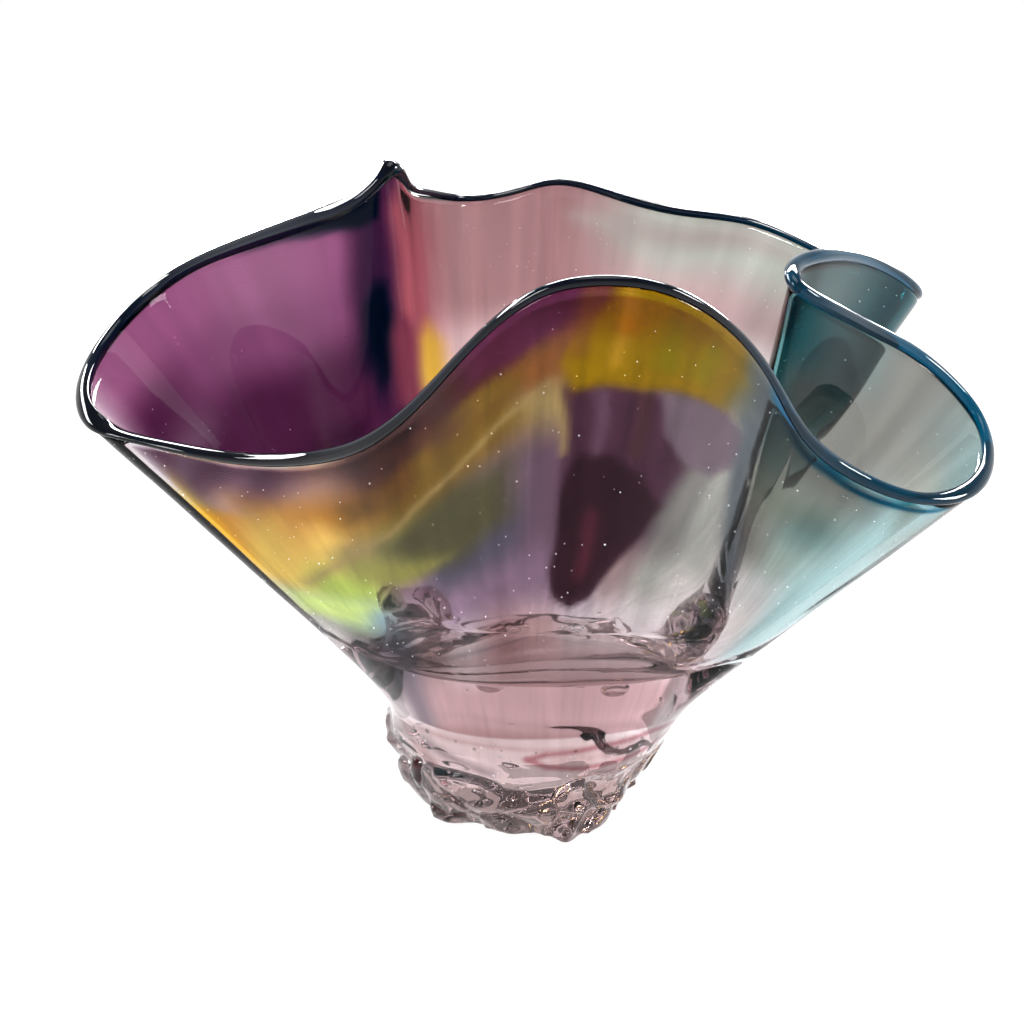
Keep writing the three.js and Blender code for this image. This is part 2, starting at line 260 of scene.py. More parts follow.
# ------------------------------------------------------------------ glass
# Colours of glass as the eye sees white through one wall of them, from 0 to 255.
TINTS = {
    "clear": (240, 234, 236),
    "haze": (226, 221, 223),
    "blush": (214, 190, 191),
    "petal": (188, 168, 165),
    "pearl": (210, 207, 204),
    "mauve": (184, 152, 154),
    "lilac": (160, 136, 160),
    "slate": (112, 102, 112),
    "taupe": (150, 130, 130),
    "dusk": (106, 84, 100),
    "ash": (112, 98, 108),
    "heather": (128, 106, 126),
    "storm": (82, 80, 94),
    "aubergine": (74, 46, 62),
    "shadow": (50, 28, 38),
    "rosy": (140, 104, 107),
    "rose": (140, 70, 80),
    "amethyst": (124, 70, 104),
    "orchid": (106, 58, 90),
    "grape": (62, 27, 52),
    "damson": (42, 16, 38),
    "mulberry": (46, 24, 48),
    "ink": (4, 14, 26),
    "wine": (104, 46, 62),
    "umber": (98, 66, 50),
    "bramble": (78, 52, 52),
    "sangria": (68, 28, 30),
    "rust": (138, 88, 50),
    "gold": (240, 204, 100),
    "amber": (190, 146, 52),
    "yellow": (148, 116, 10),
    "brass": (138, 124, 12),
    "lime": (212, 240, 140),
    "olive": (146, 146, 74),
    "moss": (82, 80, 56),
    "bronze": (120, 94, 38),
    "straw": (160, 140, 92),
    "grass": (176, 199, 92),
    "mint": (188, 226, 172),
    "cream": (206, 190, 164),
    "sage": (160, 164, 156),
    "sea": (92, 132, 132),
    "smoke": (118, 118, 114),
    "seafoam": (130, 154, 154),
    "fog": (186, 190, 188),
    "mist": (154, 188, 195),
    "pebble": (150, 140, 136),
    "teal": (40, 112, 120),
    "plum": (96, 44, 74),
    "deep_teal": (30, 62, 76),
    "ice": (206, 226, 227),
    "steel": (88, 98, 104),
    "ocean": (0, 96, 135),
    "midnight": (2, 20, 36),
    "lagoon": (4, 78, 106),
    "garnet": (98, 18, 36),
}
# Soft colour fields of the wall: colours at these rises, for each of these places on the rim.
FIELD_RISES = [0.12, 0.27, 0.40, 0.52, 0.65, 0.78, 0.92]
WALL_FIELDS = [
    # left lobe, far side and tip
    (0, "clear", "haze", "mauve", "grape", "damson", "grape", "grape"),
    (1, "clear", "haze", "mauve", "grape", "damson", "grape", "grape"),
    (2, "clear", "haze", "mauve", "damson", "grape", "orchid", "amethyst"),
    (4, "clear", "haze", "mauve", "grape", "grape", "orchid", "amethyst"),
    (5.5, "clear", "haze", "pearl", "mauve", "dusk", "grape", "amethyst"),
    (7, "clear", "pearl", "haze", "gold", "gold", "haze", "haze"),
    # near side of the left lobe, up to the front crest
    (8, "clear", "pearl", "sage", "gold", "gold", "pearl", "haze"),
    (9, "haze", "slate", "mint", "grass", "gold", "gold", "haze"),
    (10, "slate", "storm", "mist", "grass", "straw", "amber", "cream"),
    (11, "mauve", "taupe", "haze", "lilac", "olive", "bronze", "bramble"),
    (12, "mauve", "haze", "lilac", "storm", "moss", "bronze", "bramble"),
    (13, "mauve", "mauve", "heather", "storm", "heather", "bronze", "sangria"),
    (14, "mauve", "blush", "heather", "dusk", "dusk", "straw", "plum"),
    (15, "mauve", "haze", "heather", "aubergine", "aubergine", "bronze", "rust"),
    (16, "mauve", "clear", "taupe", "aubergine", "dusk", "dusk", "yellow"),
    (17, "mauve", "haze", "sage", "smoke", "smoke", "dusk", "yellow"),
    (18, "mauve", "clear", "pearl", "sage", "sage", "sage", "steel"),
    # right lobe
    (19, "mauve", "clear", "haze", "pearl", "smoke", "sage", "fog"),
    (20, "haze", "clear", "pearl", "fog", "sage", "seafoam", "fog"),
    (21, "clear", "ice", "ice", "ice", "ice", "ice", "ice"),
    (23, "clear", "ice", "ice", "ice", "ice", "sage", "seafoam"),
    (25, "clear", "haze", "ice", "sage", "smoke", "smoke", "smoke"),
    (27, "clear", "haze", "pearl", "sage", "smoke", "smoke", "teal"),
    # pleat and back-right lobe
    (29.5, "clear", "haze", "pearl", "sage", "sea", "teal", "teal"),
    (31.5, "clear", "haze", "pearl", "sea", "teal", "teal", "teal"),
    (36, "clear", "haze", "haze", "ice", "sea", "teal", "teal"),
    # back wall
    (38, "clear", "haze", "haze", "haze", "pearl", "taupe", "sage"),
    (40, "clear", "haze", "haze", "haze", "pearl", "mauve", "sage"),
    (42, "clear", "haze", "haze", "haze", "pearl", "rosy", "rosy"),
    (44.5, "clear", "haze", "haze", "haze", "mauve", "rosy", "rosy"),
    (46, "clear", "haze", "haze", "mauve", "rose", "rose", "rose"),
]
# Patches of colour on the wall: (colour, width of the soft edge in mm, outline as (place, rise) points).
WALL_PATCHES = [
    # inside of the left lobe, by its back fold
    ("mulberry", 8, [(1.3, 1.0), (1.4, 0.8), (1.5, 0.62), (0.8, 0.54), (0.0, 0.58), (-0.2, 0.70),
                     (0.3, 0.86), (0.6, 1.0)]),
    ("ink", 6, [(1.2, 0.76), (1.3, 0.64), (0.8, 0.58), (0.2, 0.60), (0.0, 0.68), (0.3, 0.78), (0.8, 0.80)]),
    ("ink", 3, [(0.4, 1.02), (0.5, 0.93), (1.4, 0.94), (2.6, 0.975), (3.8, 1.02)]),
    # back wall: amber beside the rose, and a pale cloud towards the right
    ("amber", 8, [(46.1, 0.56), (45.9, 0.66), (45.5, 0.70), (45.0, 0.66), (44.7, 0.56)]),
    ("pebble", 9, [(41.6, 0.93), (40.4, 0.97), (39, 0.98), (38.2, 0.95), (39.4, 0.92), (40.8, 0.90)]),
    # gold and lime on the left
    ("gold", 7, [(7.4, 0.50), (7.2, 0.72), (8.6, 0.76), (9.6, 0.76), (9.9, 0.70), (9.2, 0.64), (8.6, 0.52)]),
    ("lime", 8, [(7.6, 0.36), (7.8, 0.45), (9.0, 0.47), (9.8, 0.45), (9.2, 0.38)]),
    # amber band that climbs to the crest, with a dark olive shade under it
    ("bronze", 7, [(10.2, 0.76), (11.2, 0.80), (12.2, 0.82), (13.2, 0.83), (14.1, 0.83), (14.1, 0.90),
                   (13.2, 0.90), (12.2, 0.89), (11.2, 0.86), (10.2, 0.82)]),
    ("moss", 10, [(10.7, 0.68), (11.5, 0.72), (12.6, 0.71), (13.3, 0.68), (13.2, 0.56), (12.4, 0.53),
                 (11.5, 0.56), (10.7, 0.60)]),
    ("olive", 9, [(9.7, 0.64), (10.8, 0.63), (12.0, 0.56), (11.0, 0.53), (10.0, 0.54)]),
    # front crest: purple on the left, rust, then yellow with a crisp rounded end
    ("plum", 8, [(12.6, 1.02), (15.2, 1.02), (15.2, 0.95), (14.4, 0.91), (13.6, 0.89), (12.7, 0.92)]),
    ("rust", 7, [(13.6, 0.88), (14.5, 0.90), (14.6, 0.83), (13.8, 0.81)]),
    ("aubergine", 4, [(14.45, 0.80), (15.2, 0.80), (16.2, 0.79), (17.0, 0.76), (17.0, 0.67), (16.7, 0.56),
                      (15.6, 0.55), (14.4, 0.58)]),
    ("ash", 2, [(16.4, 0.80), (17.5, 0.84), (18.1, 0.82), (18.1, 0.75), (17.6, 0.69), (16.8, 0.68),
                 (16.5, 0.72)]),
    ("yellow", 3, [(14.5, 0.85), (15.0, 0.93), (15.6, 1.02), (17.4, 1.02), (17.7, 0.92), (17.4, 0.84),
                   (16.8, 0.82), (16.0, 0.79), (15.2, 0.80), (14.7, 0.79)]),
    # dark plum wedge under the crest
    ("shadow", 2, [(14.4, 0.58), (14.7, 0.66), (15.4, 0.66), (16.2, 0.62), (16.7, 0.56), (16.4, 0.49),
                   (15.9, 0.42), (15.4, 0.35), (14.8, 0.33), (14.35, 0.35), (14.25, 0.41), (14.35, 0.50)]),
]
# A stroke of colour on a surface: (colour, half width, width of its soft edge, points of its middle line).
# Widths are in millimetres. Points on the wall are (place on the rim, rise).
PLACE_MM = 9
RISE_MM = 130
WALL_STROKES = [
    # inside of the left lobe
    ("grape", 6, 12, [(1.6, 0.60), (3, 0.58), (4.8, 0.62)]),
    # back wall
    ("rose", 5, 9, [(46.4, 0.92), (46.2, 0.72)]),
    ("wine", 5, 8, [(46.7, 0.66), (46.5, 0.56)]),
    ("amber", 1.5, 5, [(40.5, 0.74), (40.5, 0.72)]),
    # right lobe and pleat
    ("deep_teal", 2, 5, [(28.9, 0.97), (28.9, 0.90)]),
    ("steel", 2.2, 3, [(18.0, 0.86), (18.4, 0.73), (18.9, 0.58), (19.1, 0.40), (19.0, 0.31)]),
    ("ocean", 1.4, 2, [(18.2, 0.968), (20, 0.962), (21.6, 0.966)]),
    # thin pale line under the amber band, and a purple smudge over it
    ("straw", 0.7, 4, [(8.6, 0.51), (10.2, 0.67), (11.4, 0.745), (12.4, 0.76), (13.4, 0.785), (14.2, 0.82)]),
    ("umber", 2, 7, [(11.2, 0.93), (12.0, 0.90), (12.4, 0.86)]),
    # streaks down the crest
    ("rust", 0.8, 4, [(14.9, 0.97), (14.8, 0.86)]),
    ("amber", 0.8, 4, [(15.5, 0.98), (15.4, 0.84)]),
    ("brass", 1.5, 5, [(16.3, 0.95), (16.3, 0.85)]),
    ("brass", 1.5, 5, [(17.0, 0.93), (16.9, 0.86)]),
    ("bramble", 0.8, 4, [(16.1, 0.78), (16.0, 0.66)]),
    ("dusk", 0.6, 4, [(15.2, 0.78), (15.1, 0.66)]),
    # pale strip with a crisp edge beside the wedge, and red light inside it
    ("straw", 0.5, 3, [(14.3, 0.80), (14.35, 0.66)]),
    ("wine", 0.5, 7, [(15.0, 0.40), (15.2, 0.52)]),
]


def seen(name):
    """A tint on the eye's own scale, from 0 to 1."""
    return np.array(TINTS[name]) / 255


def light_through(shade):
    """Share of light that glass lets through, from how bright white looks through it."""
    return np.clip(shade, 0, 1) ** 2.2


def wall_fields(place, rise):
    """The soft fields' colour at every point, on the eye's scale."""
    at = np.array([field[0] for field in WALL_FIELDS] + [POINTS])
    grid = np.array([[seen(name) for name in field[1:]] for field in WALL_FIELDS])
    grid = np.concatenate([grid, grid[:1]])
    place = place % POINTS
    column = np.clip(np.searchsorted(at, place, side="right") - 1, 0, len(at) - 2)
    across = smoothstep((place - at[column]) / (at[column + 1] - at[column]))
    levels = np.clip(np.interp(rise, FIELD_RISES, range(len(FIELD_RISES))), 0, len(FIELD_RISES) - 1.001)
    row = levels.astype(int)
    upward = smoothstep(levels - row)
    left = grid[column, row] + (grid[column, row + 1] - grid[column, row]) * upward[:, None]
    right = grid[column + 1, row] + (grid[column + 1, row + 1] - grid[column + 1, row]) * upward[:, None]
    return left + (right - left) * across[:, None]


def stroke_share(x, y, stroke_points, half, soft, turn):
    """How strongly a stroke covers points at x and y, all in millimetres; x repeats every turn."""
    nearest = np.full(len(x), np.inf)
    for (x0, y0), (x1, y1) in zip(stroke_points[:-1], stroke_points[1:]):
        dx = (x - x0 + turn / 2) % turn - turn / 2
        dy = y - y0
        length2 = (x1 - x0) ** 2 + (y1 - y0) ** 2
        t = np.clip((dx * (x1 - x0) + dy * (y1 - y0)) / length2, 0, 1)
        nearest = np.minimum(nearest, np.hypot(dx - t * (x1 - x0), dy - t * (y1 - y0)))
    return 1 - smoothstep(nearest, half - soft / 2, half + soft / 2)


def patch_share(x, y, outline, soft, turn):
    """How strongly a patch with this outline covers points; lengths as in stroke_share."""
    middle = sum(a for a, _ in outline) / len(outline)
    x = (x - middle + turn / 2) % turn - turn / 2 + middle
    inside = np.zeros(len(x), bool)
    nearest = np.full(len(x), np.inf)
    for (x0, y0), (x1, y1) in zip(outline, outline[1:] + outline[:1]):
        t = np.clip(((x - x0) * (x1 - x0) + (y - y0) * (y1 - y0)) / ((x1 - x0) ** 2 + (y1 - y0) ** 2), 0, 1)
        nearest = np.minimum(nearest, np.hypot(x - x0 - t * (x1 - x0), y - y0 - t * (y1 - y0)))
        if y0 != y1:
            crosses = ((y0 > y) != (y1 > y)) & (x < x0 + (y - y0) * (x1 - x0) / (y1 - y0))
            inside ^= crosses
    return smoothstep(np.where(inside, nearest, -nearest), -soft / 2, soft / 2)


def painted(x, y, base, patches, strokes, scale, turn):
    """Light let through at points x, y: patches and then strokes laid over the base colours."""
    colours = np.array(base, float)
    for colour, soft, outline in patches:
        scaled = [(a * scale[0], b * scale[1]) for a, b in outline]
        share = patch_share(x, y, scaled, soft, turn)[:, None]
        colours = colours * (1 - share) + seen(colour) * share
    for colour, half, soft, points in strokes:
        scaled = [(a * scale[0], b * scale[1]) for a, b in points]
        share = stroke_share(x, y, scaled, half, soft, turn)[:, None]
        colours = colours * (1 - share) + seen(colour) * share
    return light_through(colours)


def glass(name, tint, clearness=1.0, gloss=1.0, frosted=False, absorb=None, density=0.0):
    """Principled glass. tint is a colour, or None for the mesh's own painted tint with fine streaks."""
    material = bpy.data.materials.new(name)
    material.use_nodes = True
    nodes, links = material.node_tree.nodes, material.node_tree.links
    shader = nodes["Principled BSDF"]
    shader.inputs["Transmission Weight"].default_value = clearness
    shader.inputs["IOR"].default_value = 1.5
    shader.inputs["Roughness"].default_value = 0
    shader.inputs["Specular Tint"].default_value = (gloss, gloss, gloss, 1)
    if tint is not None:
        shader.inputs["Base Color"].default_value = (*tint, 1)
    else:
        links.new(streaked_tint(nodes, links), shader.inputs["Base Color"])
    if frosted:
        frost = nodes.new("ShaderNodeAttribute")
        frost.attribute_name = "frost"
        links.new(frost.outputs["Fac"], shader.inputs["Roughness"])
    if absorb:
        volume = nodes.new("ShaderNodeVolumeAbsorption")
        volume.inputs["Color"].default_value = (*absorb, 1)
        volume.inputs["Density"].default_value = density
        links.new(volume.outputs[0], nodes["Material Output"].inputs["Volume"])
    return material


def streaked_tint(nodes, links):
    """The painted tint, made a little lighter and darker along fine streaks that run up the wall."""
    painted_tint = nodes.new("ShaderNodeAttribute")
    painted_tint.attribute_name = "tint"
    grain = nodes.new("ShaderNodeAttribute")
    grain.attribute_name = "grain"
    streaks = nodes.new("ShaderNodeTexNoise")
    streaks.inputs["Scale"].default_value = 1
    streaks.inputs["Detail"].default_value = 3
    links.new(grain.outputs["Vector"], streaks.inputs["Vector"])
    depth = nodes.new("ShaderNodeMapRange")
    depth.inputs["From Min"].default_value = 0.3
    depth.inputs["From Max"].default_value = 0.7
    depth.inputs["To Min"].default_value = 0.8
    depth.inputs["To Max"].default_value = 1.05
    links.new(streaks.outputs[0], depth.inputs["Value"])
    shade = nodes.new("ShaderNodeVectorMath")
    shade.operation = "SCALE"
    links.new(painted_tint.outputs["Color"], shade.inputs[0])
    links.new(depth.outputs["Result"], shade.inputs["Scale"])
    return shade.outputs["Vector"]


# ------------------------------------------------------------------ the vessel's one skin
COLUMNS_PER_POINT = 10
COLUMNS = POINTS * COLUMNS_PER_POINT
places = np.arange(COLUMNS) / COLUMNS_PER_POINT
angles = spring_angle(places)
FOOT_ROWS = 66
OUTER_ROWS = 105
INNER_ROWS = 52
BOTTOM_ROWS = 26
TOP_DROP = 0.5 * MM
# Roughness of the melted bottom inside, and of the chips round the foot.
INNER_FROST = 0.1
CHIP_FROST = 0.03
# Inside, the straight wall ends at this rise, and a round bottom joins it to the lowest point.
BOTTOM_RISE = 0.2
LOWEST = 44.5 * MM
# Slight waves of a blown wall, and of the bottom inside.
WAVE_LENGTH = 20 * MM
WALL_WAVES = 0.2 * MM
BOTTOM_WAVES = 0.3 * MM
# How the kinks are melted smooth: (rings each side, passes of smoothing).
JOINT_EASE = (26, 180)
BOTTOM_EASE = (24, 60)
# Share of real glass's reflections that is kept. Full ones lay a grey veil over the colours.
VESSEL_GLOSS = 0.12
LIP_GLOSS = 0.5
# Share of the lip that acts as clear glass. The rest acts as an opaque coat.
LIP_CLEARNESS = 0.8
# Colour that the solid glass takes on with depth, and how fast it does, for each metre.
ABSORPTION_COLOUR = (0.5, 0.32, 0.36)
ABSORPTION_DENSITY = 9


def circle(turn, radius, height):
    return np.stack([radius * np.cos(turn), radius * np.sin(turn), 0 * turn + height], -1)


def disc(radius, height):
    """A ring of the foot: one point for each column of the skin."""
    return circle(angles, radius, height)


# ------------------------------------------------------------------ the foot's shape
# The chips keep to the rough outline of the CAD's lumps, not to each lump: up to 6.4 mm lies between them.
# Radii of the collar's bottom edge every 30 degrees from +X, in millimetres: it leans in on the right.
COLLAR_BOTTOM_RADII = [37.5, 38, 39, 40, 41, 42.5, 43.5, 43, 41.5, 41, 40, 38.5]
# Reach of the chipped part below it every 30 degrees, in millimetres: (height, reaches).
CHIPPED_REACHES = [
    (0, [28, 31, 32, 33, 34, 34, 35, 37.5, 34, 33, 31.5, 25.5]),
    (10, [33, 35, 37, 37.5, 38, 39, 41.5, 41, 39.5, 39, 37, 32]),
    (20, [37, 38, 39, 40, 41, 42.5, 44.5, 43, 41.5, 41, 40, 38]),
]
# The chip that sticks out furthest: (angle, height, reach beyond the others in millimetres).
CORNER = (283, 0, 8.5)
CORNER_WIDTH = 4.5
CORNER_HEIGHT = 8
# Rows of melted chips: (height of their middles in millimetres, how many round the foot).
CHIP_ROWS = [(2.5, 11), (8.5, 12), (14.5, 11)]
# How far one flat runs into the next, and how deep the grooves between them are, in millimetres.
CHIP_SOFTNESS = 1.9
GROOVE_DEPTH = 1.1
# Millimetres round the foot for each degree.
DEGREE_MM = 0.68
# Strokes of colour on the foot: as on the wall, with points as (angle in degrees, height in millimetres).
FOOT_STROKES = [
    ("petal", 9, 4, [(0, 9), (120, 9), (240, 9), (360, 9)]),
    ("blush", 1.5, 3, [(275, 28.5), (320, 29)]),
    ("rose", 0.9, 2.2, [(265, 29), (272, 31), (290, 32), (315, 32), (335, 30)]),
    ("rose", 0.9, 2.2, [(265, 29), (272, 26.5), (290, 25), (315, 25.5), (335, 27.5)]),
    ("mauve", 1, 4, [(285, 22.5), (300, 22)]),
    ("dusk", 2, 5, [(346, 33), (340, 24)]),
    ("slate", 1, 5, [(222, 28), (238, 25), (250, 23)]),
    ("mauve", 0.5, 2.5, [(200, 31), (250, 32.5), (280, 32.5)]),
    ("mauve", 1.5, 4, [(205, 31), (212, 26), (225, 22)]),
]


def around(radii, degrees):
    """Radius at an angle, smoothly between radii that are evenly spaced in angle."""
    count = len(radii)
    x = np.asarray(degrees) / 360 * count
    i = np.floor(x).astype(int)
    radii = np.array(radii, float)
    t = (1 - np.cos(math.pi * (x - i))) / 2
    return radii[i % count] * (1 - t) + radii[(i + 1) % count] * t


def chips():
    """Middles and tilts of the melted chips: (angle, height, lift, tilt sideways, tilt upward)."""
    random = np.random.default_rng(11)
    made = []
    for height, count in CHIP_ROWS:
        for k in range(count):
            turn, lift, sideways, upward, climb = random.uniform(-1, 1, 5)
            angle = (k + 0.35 * turn + height / 12) * 360 / count
            made.append((angle, height + 1.2 * climb, 0.9 * lift, 0.22 * sideways, 0.3 * upward))
    return made


def chipped_radius(degrees, height):
    """Radius of the chipped part in millimetres: tilted flats that meet in soft ridges and grooves."""
    heights, rows = zip(*CHIPPED_REACHES)
    reaches = np.array([around(row, degrees) for row in rows])
    reach = np.array([np.interp(h, heights, reaches[:, i]) for i, h in enumerate(height)])
    shares, flats = [], []
    for angle, middle, lift, sideways, upward in chips():
        across = ((degrees - angle + 180) % 360 - 180) * DEGREE_MM
        above = height - middle
        shares.append(np.exp(-(across**2 + (above * 1.3) ** 2) / (2 * CHIP_SOFTNESS**2) / 2))
        flats.append(lift + sideways * across + upward * above)
    shares = np.array(shares) + 1e-12
    shares /= shares.sum(0)
    angle, middle, stick_out = CORNER
    across = ((degrees - angle + 180) % 360 - 180) * DEGREE_MM
    corner = stick_out * np.exp(-((across / CORNER_WIDTH) ** 2) - ((height - middle) / CORNER_HEIGHT) ** 2)
    return reach + (shares * flats).sum(0) - GROOVE_DEPTH * (1 - shares.max(0)) + corner


def foot_radius(height):
    """Radius in metres of the foot's skin at every column: smooth collar above, chips below."""
    degrees = np.degrees(angles) % 360
    z = height / MM
    p = disc(40 * MM, height)
    wander = ripple(p, 9 * MM, 1)
    drift = ripple(p, 11 * MM, 2)
    lumps = chipped_radius(degrees + 6 * wander, z + 2.5 * drift)
    lumps += 0.5 * ripple(p, 7 * MM, 3) + 0.3 * ripple(p, 3.5 * MM, 12)
    collar_bottom, shoulder = COLLAR_BOTTOM / MM, 30
    share = smoothstep(z, collar_bottom, shoulder)
    collar = around(COLLAR_BOTTOM_RADII, degrees) * (1 - share) + RING_RADIUS / MM * share
    collar += 0.5 * ripple(p, 16 * MM, 4)
    step = smoothstep(z + 1.5 * drift, collar_bottom - 1.6, collar_bottom + 1.2)
    return (lumps * (1 - step) + collar * step) * MM


# Bubbles in the foot, in millimetres: (angle in degrees, radius from the axis, height, size).
FOOT_BUBBLES = [
    (127, 12, 39, 2.6), (33, 15, 39, 2.2), (50, 12, 41, 1.2), (118, 17, 41, 0.8),
    (214, 41, 30, 0.5), (222, 41, 31, 0.7), (236, 41, 31, 0.4),
    (244, 41, 30, 0.5), (255, 41, 31, 0.3), (268, 41, 31, 0.3), (283, 41, 31, 0.4), (300, 41, 30, 0.5),
    (312, 40, 28, 0.7), (322, 40, 27, 0.5), (335, 39, 29, 0.4), (345, 39, 26, 0.5), (288, 40, 25, 0.4),
    (196, 41, 21, 1.6), (199, 41, 17, 1.1), (202, 40, 14, 0.8), (228, 36, 16, 0.6), (246, 37, 16, 0.7),
    (262, 36, 15, 0.5), (275, 36, 10, 0.9), (279, 37, 12, 0.6), (283, 37, 9, 1.2), (287, 37, 11, 0.6),
    (300, 34, 14, 0.6), (310, 34, 15, 0.9), (322, 32, 14, 0.5), (332, 31, 9, 0.6), (256, 32, 7, 0.7),
    (237, 35, 7, 0.8), (282, 38, 4, 1.0), (205, 36, 9, 0.7), (180, 38, 14, 1.0), (150, 36, 13, 1.1),
    (120, 36, 16, 0.9), (95, 35, 9, 1.0), (70, 34, 14, 0.8), (40, 33, 10, 0.9), (15, 31, 15, 0.8),
    (60, 38, 29, 0.5), (130, 40, 28, 0.6),
]


# ------------------------------------------------------------------ the bowl's shape
def wall_rise_at(drop):
    """Rise of points a given distance below the rim, for every column."""
    height = np.linalg.norm(wall_middle(places, 1.0) - wall_middle(places, 0.0), axis=-1)
    return 1 - drop / height


def wall_row(rise, offset):
    """A ring of the wall's outer or inner skin, with the slight waves of a blown wall."""
    offset = offset * thinned(places, rise)
    points = wall_middle(places, rise) + wall_normal(places, rise) * offset[:, None]
    depth = WALL_WAVES * smoothstep(rise, 0, 0.4)
    wave = ripple(points, WAVE_LENGTH, 5 if offset[0] < 0 else 6)
    return points + wall_normal(places, rise) * (wave * depth)[:, None]


def foot_rows():
    """Rings of the foot's skin, from the middle of its underside up to the joint with the bowl."""
    bevel = 0.7 * MM
    rows = [disc(foot_radius(bevel) * share, 0) for share in (0.3, 0.6, 0.85, 0.96)]
    return rows + [disc(foot_radius(z), z) for z in np.linspace(bevel, JOINT_HEIGHT - 0.8 * MM, FOOT_ROWS)]


def outer_rows(shoulder):
    rows = []
    for step in np.linspace(0, 1, OUTER_ROWS):
        points = wall_row(shoulder * step, WALL / 2)
        points[:, 2] = np.maximum(points[:, 2], JOINT_HEIGHT + 0.3 * MM)
        rows.append((points, shoulder * step, True))
    return rows


def top_rows(shoulder):
    middle, out, up = wall_middle(places, shoulder), wall_normal(places, shoulder), wall_up(places, shoulder)
    rows = []
    for share in (0.2, 0.4, 0.6, 0.8):
        bend = math.pi * share
        half = (WALL / 2 * thinned(places, shoulder))[:, None]
        points = middle + (out * math.cos(bend) + up * math.sin(bend)) * half
        rows.append((points, shoulder, share < 0.5))
    return rows


def inner_rows(shoulder):
    """Rings down the inner wall, then over a round bottom to near its lowest point."""
    rows = []
    for step in np.linspace(1, 0, INNER_ROWS):
        rise = BOTTOM_RISE + (shoulder - BOTTOM_RISE) * step
        rows.append((wall_row(rise, -WALL / 2), rise, False))
    start = rows[-1][0]
    down = -wall_up(places, BOTTOM_RISE)
    drop = (start[:, 2] - LOWEST) / -down[:, 2]
    knee = start + down * (drop * 0.75)[:, None]
    toe = start * [0.45, 0.45, 0]
    toe[:, 2] = LOWEST
    end = np.array([0, 0, LOWEST])
    for t in np.linspace(0, 1, BOTTOM_ROWS + 1)[1:-1]:
        points = start * (1 - t) ** 3 + 3 * knee * t * (1 - t) ** 2 + 3 * toe * t**2 * (1 - t) + end * t**3
        points[:, 2] += BOTTOM_WAVES * ripple(points, WAVE_LENGTH, 7) * t * (1 - t) * 4
        rows.append((points, BOTTOM_RISE * (1 - t), False))
    return rows


def eased(rows, middle, reach, passes):
    """Rings with the kink at the middle one melted smooth, less and less over reach rings each side."""
    rows = np.array(rows)
    melted = rows.copy()
    for _ in range(passes):
        melted[1:-1] = (melted[:-2] + 2 * melted[1:-1] + melted[2:]) / 4
    away = np.abs(np.arange(len(rows)) - middle)
    share = (1 - smoothstep(away, reach / 2, reach))[:, None, None]
    return rows + (melted - rows) * share


def build_vessel():
    """Foot and bowl in one closed skin, as they were melted together, with the foot's air bubbles."""
    foot = foot_rows()
    shoulder = wall_rise_at(TOP_DROP + WALL / 2)
    wall = outer_rows(shoulder) + top_rows(shoulder) + inner_rows(shoulder)
    count = len(foot) + len(wall)
    ends = [[0, 0, 0], [0, 0, LOWEST]]
    rows = foot + [row for row, _, _ in wall]
    rows = eased(rows, len(foot), *JOINT_EASE)
    rows = eased(rows, len(rows) - BOTTOM_ROWS, *BOTTOM_EASE)
    skin = np.concatenate([*rows, ends])
    faces = ring_faces(count, COLUMNS)
    faces += cap_faces(0, COLUMNS, count * COLUMNS, up=False)
    faces += cap_faces((count - 1) * COLUMNS, COLUMNS, count * COLUMNS + 1, up=True)
    parts = [(skin, faces)]
    for degrees, radius, height, size in FOOT_BUBBLES:
        a = math.radians(degrees)
        centre = np.array([radius * math.cos(a), radius * math.sin(a), height]) * MM
        parts.append(ball(centre, np.full(3, size * MM), 3, inward=True))
    points, faces = joined(parts)
    material = glass(
        "vessel_glass",
        None,
        gloss=VESSEL_GLOSS,
        frosted=True,
        absorb=ABSORPTION_COLOUR,
        density=ABSORPTION_DENSITY,
    )
    vessel = make_object("vessel", points, faces, material)
    paint_vessel(vessel, skin, len(foot), wall, points)
    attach(vessel, "root")
    fused = [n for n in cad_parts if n.endswith("_overlay") or "_lump_" in n]
    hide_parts("bowl_casing", "foot_collar", "foot_core", *fused)


